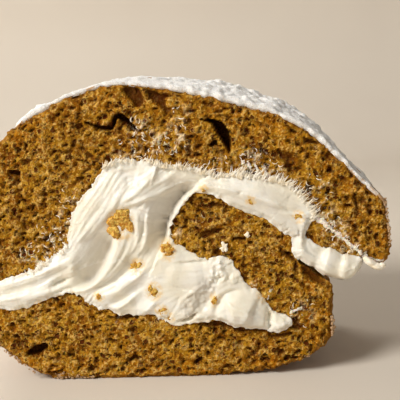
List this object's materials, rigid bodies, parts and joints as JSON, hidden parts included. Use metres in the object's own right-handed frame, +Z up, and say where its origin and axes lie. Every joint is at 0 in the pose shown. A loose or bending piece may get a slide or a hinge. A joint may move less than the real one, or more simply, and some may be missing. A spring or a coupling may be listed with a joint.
{
  "type": "swiss roll cake",
  "caption": "Thick slice of rolled sponge cake with a cream filling that runs through it, a browned skin and a dusting of icing sugar, resting on its flat underside.",
  "frame": {"origin": "middle of the slice's box at the bottom, on the surface the slice rests on", "axes": "+X across the roll towards the end of the outer flap, -Y out of the front cut face, +Z up"},
  "size_m": [0.0942, 0.035, 0.0626],
  "materials": {
    "sponge": "open, dry crumb",
    "cream": "soft satin"
  },
  "bodies": {
    "root": {"sponge": "sponge", "cream": "cream"}
  },
  "joints": []
}
